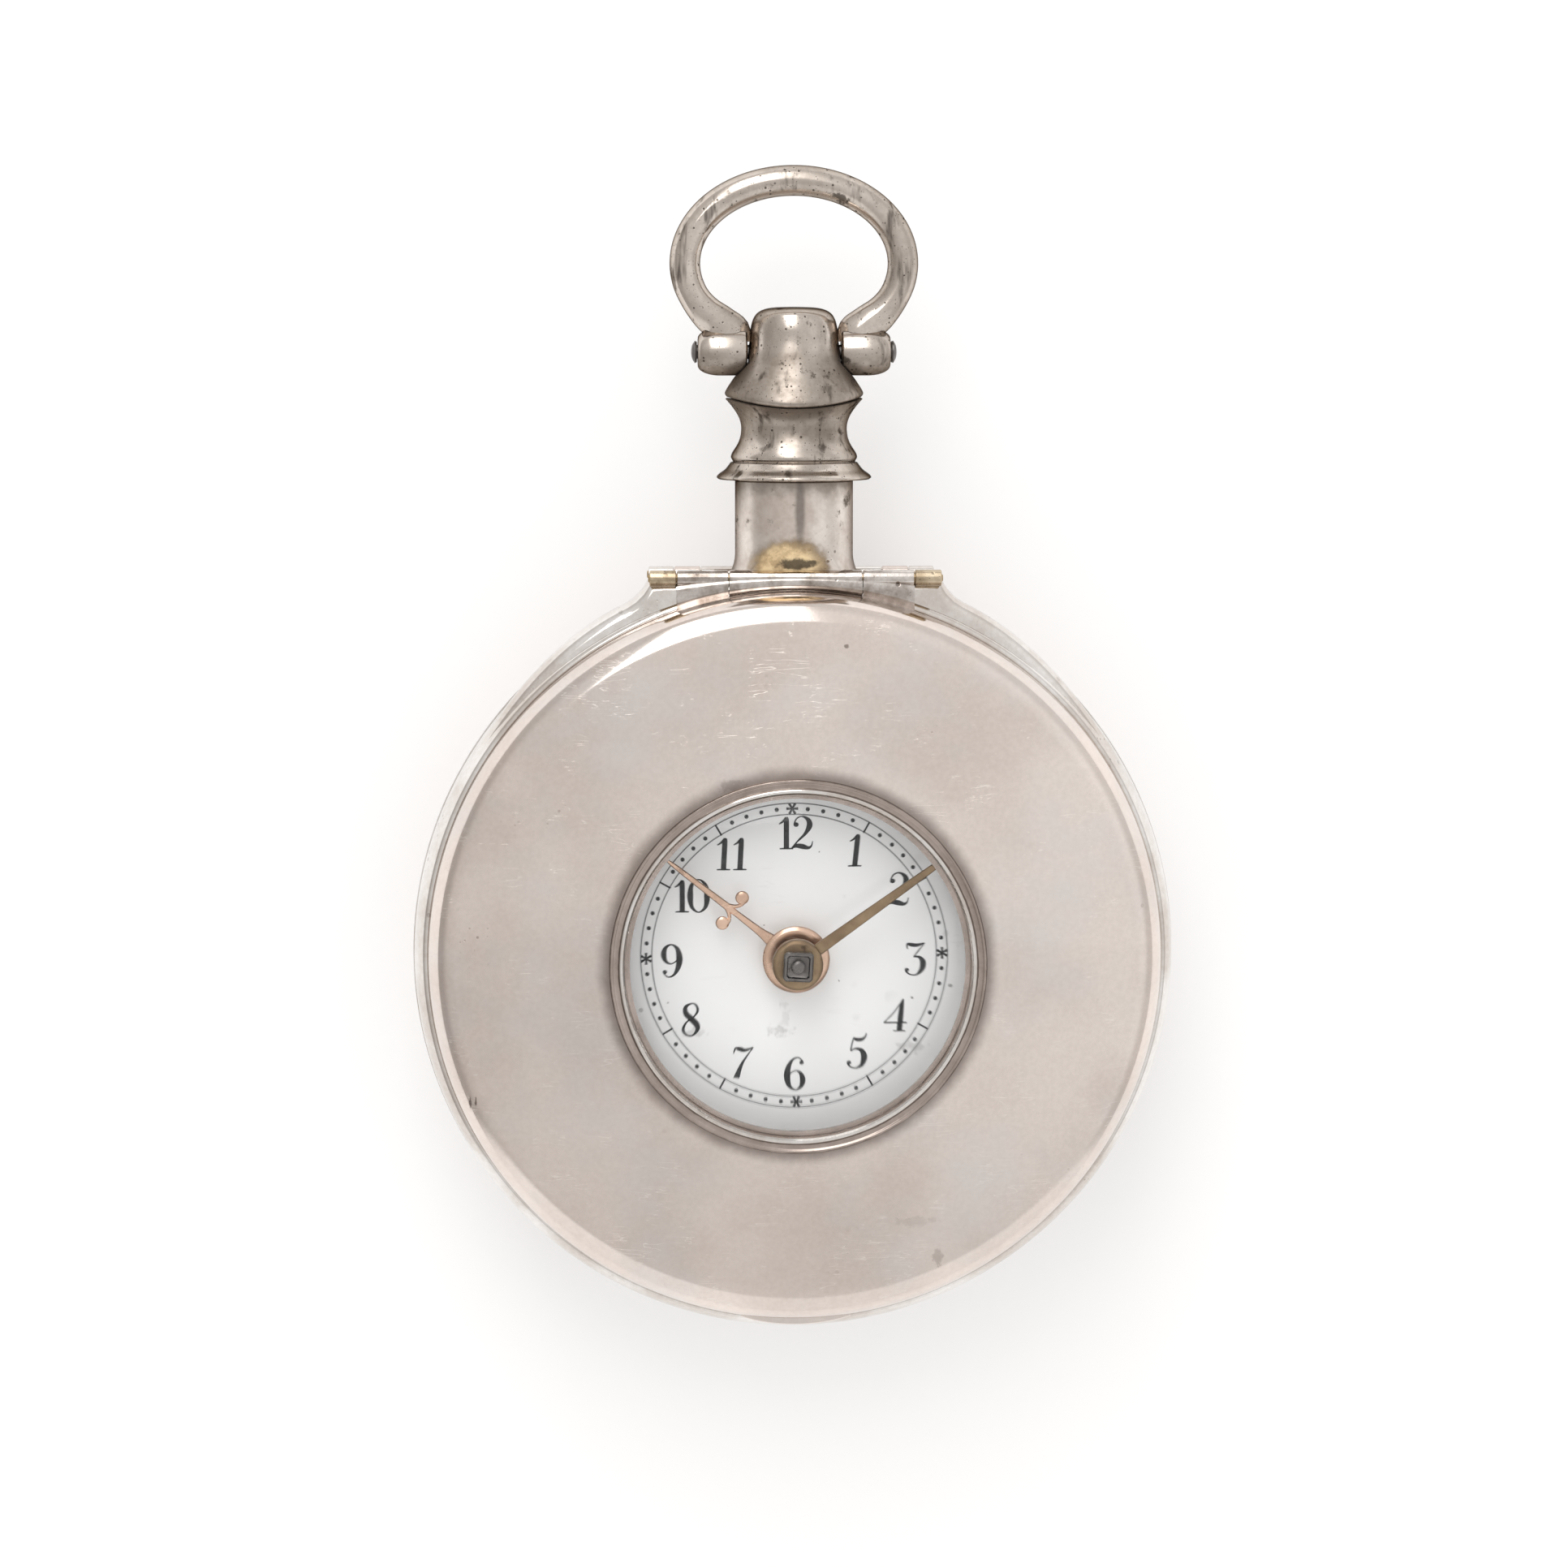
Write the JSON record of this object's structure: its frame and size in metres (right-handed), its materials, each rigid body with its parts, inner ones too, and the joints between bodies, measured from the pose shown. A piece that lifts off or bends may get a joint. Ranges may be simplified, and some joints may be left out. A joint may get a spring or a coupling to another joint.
{
  "type": "pocket watch",
  "caption": "Silver demi-hunter pocket watch with hinged front and back covers, domed glass, enamel dial, swinging bow and a fusee movement.",
  "frame": {"origin": "centre of the flat on the back cover, on which the watch rests", "axes": "+Z out of the dial, +Y towards twelve o'clock and the pendant, +X towards three o'clock"},
  "size_m": [0.054, 0.0823, 0.0221],
  "materials": {
    "silver": "worn silver with fine scratches",
    "polished_silver": "polished silver, slightly tarnished",
    "gilt": "fire-gilt brass",
    "brass": "turned brass",
    "rose_gold": "polished gilt metal",
    "steel": "dark polished steel",
    "blued_steel": "blued steel",
    "enamel": "white enamel on copper",
    "glass": "clear domed glass"
  },
  "bodies": {
    "case": {"front_bezel": "polished_silver", "case_middle": "silver", "inner_dome": "gilt", "front_hinge_pin": "brass", "back_hinge_pin": "brass", "pendant_neck": "silver", "pendant_collar": "polished_silver", "pendant_head": "polished_silver", "bow_screw_left": "steel", "bow_screw_right": "steel", "dial": "enamel", "pillar_plate": "gilt", "top_plate": "gilt", "pillar_1": "gilt", "pillar_2": "gilt", "pillar_3": "gilt", "pillar_4": "gilt", "taper_pin_1": "steel", "taper_pin_2": "steel", "taper_pin_3": "steel", "taper_pin_4": "steel", "hairspring": "blued_steel", "hairspring_stud": "brass", "balance_cock": "gilt", "cock_screw": "blued_steel", "potence": "gilt", "counter_potence": "gilt", "barrel_arbor": "steel", "mainspring": "blued_steel", "setup_ratchet": "steel", "setup_click": "steel", "chain_run": "steel"},
    "front_lid": {"front_cover": "silver", "aperture_bezel": "polished_silver", "domed_glass": "glass"},
    "back_lid": {"back_cover": "silver"},
    "bow_ring": {"bow": "polished_silver"},
    "centre": {"centre_arbor": "steel", "centre_wheel": "gilt", "cannon_pinion": "steel", "minute_hand": "brass"},
    "minute_work": {"minute_wheel": "brass", "minute_pinion": "steel"},
    "hour": {"hour_wheel": "brass", "hour_hand": "rose_gold"},
    "fusee_group": {"fusee": "brass", "great_wheel": "brass", "chain_on_fusee": "steel"},
    "barrel_group": {"barrel": "brass", "barrel_lid": "brass", "chain_on_barrel": "steel"},
    "third": {"third_arbor": "steel", "third_wheel": "gilt"},
    "contrate": {"contrate_arbor": "steel", "contrate_wheel": "gilt"},
    "escape": {"crown_wheel_arbor": "steel", "crown_wheel": "brass"},
    "balance": {"verge_staff": "steel", "balance_wheel": "gilt"},
    "regulator": {"regulator_disc": "silver"}
  },
  "joints": [
    {"name": "front_cover_hinge", "type": "hinge", "parent": "case", "child": "front_lid", "pos_m": [0, 0.02675, 0.01575], "axis": [-1, 0, 0], "range_deg": [0, 95]},
    {"name": "back_cover_hinge", "type": "hinge", "parent": "case", "child": "back_lid", "pos_m": [0, 0.0266, 0.0085], "axis": [1, 0, 0], "range_deg": [0, 95]},
    {"name": "bow_swing", "type": "hinge", "parent": "case", "child": "bow_ring", "pos_m": [0, 0.04245, 0.013], "axis": [1, 0, 0], "range_deg": [-90, 90]},
    {"name": "centre_turn", "type": "hinge", "parent": "case", "child": "centre", "pos_m": [0, 0, 0.011], "axis": [0, 0, -1], "continuous": true},
    {"name": "minute_work_turn", "type": "hinge", "parent": "case", "child": "minute_work", "pos_m": [0.0024, -0.00416, 0.0125], "axis": [0, 0, -1], "continuous": true},
    {"name": "hour_turn", "type": "hinge", "parent": "case", "child": "hour", "pos_m": [0, 0, 0.0137], "axis": [0, 0, -1], "continuous": true},
    {"name": "fusee_turn", "type": "hinge", "parent": "case", "child": "fusee_group", "pos_m": [0.00786, -0.00551, 0.008], "axis": [0, 0, -1], "continuous": true},
    {"name": "barrel_turn", "type": "hinge", "parent": "case", "child": "barrel_group", "pos_m": [-0.00628, -0.00804, 0.008], "axis": [0, 0, -1], "continuous": true},
    {"name": "third_turn", "type": "hinge", "parent": "case", "child": "third", "pos_m": [-0.00424, 0.00424, 0.009], "axis": [0, 0, -1], "continuous": true},
    {"name": "contrate_turn", "type": "hinge", "parent": "case", "child": "contrate", "pos_m": [-0.00095, 0.00817, 0.008], "axis": [0, 0, -1], "continuous": true},
    {"name": "escape_turn", "type": "hinge", "parent": "case", "child": "escape", "pos_m": [-0.00095, 0.00817, 0.00825], "axis": [-0.9063, 0.4226, 0], "continuous": true},
    {"name": "balance_swing", "type": "hinge", "parent": "case", "child": "balance", "pos_m": [0.00776, 0.00412, 0.005], "axis": [0, 0, 1], "range_deg": [-40, 40], "stiffness_Nm_per_rad": 0.0000044},
    {"name": "regulator_turn", "type": "hinge", "parent": "case", "child": "regulator", "pos_m": [-0.0075, 0.0035, 0.0045], "axis": [0, 0, 1], "range_deg": [-90, 90]}
  ],
  "couplings": [
    {"joint": "minute_work_turn", "follows": "centre_turn", "ratio": -0.33333},
    {"joint": "hour_turn", "follows": "centre_turn", "ratio": 0.083333},
    {"joint": "fusee_turn", "follows": "centre_turn", "ratio": -0.25},
    {"joint": "barrel_turn", "follows": "centre_turn", "ratio": -0.16},
    {"joint": "third_turn", "follows": "centre_turn", "ratio": -9},
    {"joint": "contrate_turn", "follows": "centre_turn", "ratio": 72},
    {"joint": "escape_turn", "follows": "centre_turn", "ratio": 576}
  ]
}
